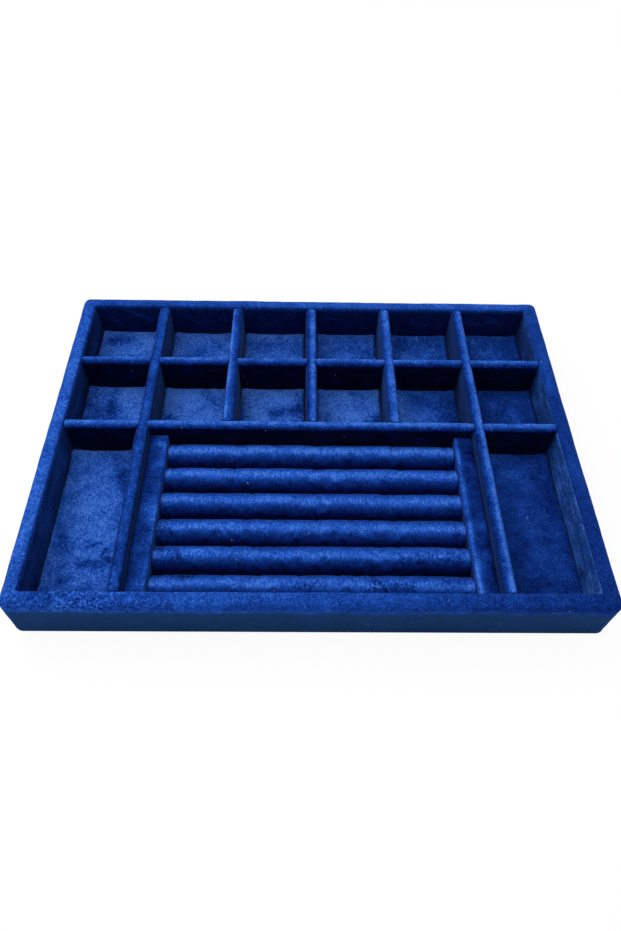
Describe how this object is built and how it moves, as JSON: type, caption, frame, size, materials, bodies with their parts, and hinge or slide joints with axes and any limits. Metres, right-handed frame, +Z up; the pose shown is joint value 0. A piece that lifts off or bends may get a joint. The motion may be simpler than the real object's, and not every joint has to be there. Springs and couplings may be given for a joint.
{
  "type": "drawer jewelry organizer",
  "caption": "Shallow velvet-wrapped drawer tray with small and long padded compartments and a lift-out holder of padded ring rolls.",
  "frame": {"origin": "middle of the underside, on the plane that the felt rests on", "axes": "+X to the right along the long side, +Y towards the row of small compartments at the back, +Z up out of the open top"},
  "size_m": [0.354, 0.262, 0.036],
  "materials": {
    "wrap_velvet": "short-pile velvet, royal blue",
    "lining_velvet": "short-pile velvet, royal blue, darker where brushed down",
    "divider_velvet": "short-pile velvet, royal blue",
    "pad_velvet": "short-pile velvet, royal blue, with crushed patches",
    "roll_velvet": "short-pile velvet, royal blue, satin highlights",
    "rail_velvet": "short-pile velvet, royal blue",
    "underside_felt": "thin dark felt",
    "base_fibreboard": "plain fibreboard",
    "wall_fibreboard": "plain fibreboard",
    "divider_greyboard": "plain greyboard",
    "insert_greyboard": "plain greyboard",
    "roll_foam": "open-cell foam"
  },
  "bodies": {
    "tray": {"outer_velvet_wrap": "wrap_velvet", "bottom_lining": "underside_felt", "base_board": "base_fibreboard", "front_wall_board": "wall_fibreboard", "front_lining": "lining_velvet", "back_wall_board": "wall_fibreboard", "back_lining": "lining_velvet", "left_wall_board": "wall_fibreboard", "left_lining": "lining_velvet", "right_wall_board": "wall_fibreboard", "right_lining": "lining_velvet", "long_divider_left_board": "divider_greyboard", "long_divider_left_velvet": "divider_velvet", "long_divider_right_board": "divider_greyboard", "long_divider_right_velvet": "divider_velvet", "short_divider_left_board": "divider_greyboard", "short_divider_left_velvet": "divider_velvet", "short_divider_middle_board": "divider_greyboard", "short_divider_middle_velvet": "divider_velvet", "short_divider_right_board": "divider_greyboard", "short_divider_right_velvet": "divider_velvet", "rear_cross_divider_board": "divider_greyboard", "rear_cross_divider_velvet": "divider_velvet", "front_cross_divider_board": "divider_greyboard", "front_cross_divider_velvet": "divider_velvet", "cell_pad_row1_1": "pad_velvet", "cell_pad_row1_2": "pad_velvet", "cell_pad_row1_3": "pad_velvet", "cell_pad_row1_4": "pad_velvet", "cell_pad_row1_5": "pad_velvet", "cell_pad_row1_6": "pad_velvet", "cell_pad_row2_1": "pad_velvet", "cell_pad_row2_2": "pad_velvet", "cell_pad_row2_3": "pad_velvet", "cell_pad_row2_4": "pad_velvet", "cell_pad_row2_5": "pad_velvet", "cell_pad_row2_6": "pad_velvet", "long_pad_left": "pad_velvet", "long_pad_right": "pad_velvet"},
    "ring_holder": {"insert_base_board": "insert_greyboard", "insert_rail_left_board": "insert_greyboard", "insert_rail_left_velvet": "rail_velvet", "insert_rail_right_board": "insert_greyboard", "insert_rail_right_velvet": "rail_velvet", "ring_roll_1_foam": "roll_foam", "ring_roll_1_velvet": "roll_velvet", "ring_roll_2_foam": "roll_foam", "ring_roll_2_velvet": "roll_velvet", "ring_roll_3_foam": "roll_foam", "ring_roll_3_velvet": "roll_velvet", "ring_roll_4_foam": "roll_foam", "ring_roll_4_velvet": "roll_velvet", "ring_roll_5_foam": "roll_foam", "ring_roll_5_velvet": "roll_velvet", "ring_roll_6_foam": "roll_foam", "ring_roll_6_velvet": "roll_velvet"}
  },
  "joints": [
    {"name": "ring_holder_lift", "type": "slide", "parent": "tray", "child": "ring_holder", "axis": [0, 0, 1], "range_m": [0, 0.05]}
  ]
}
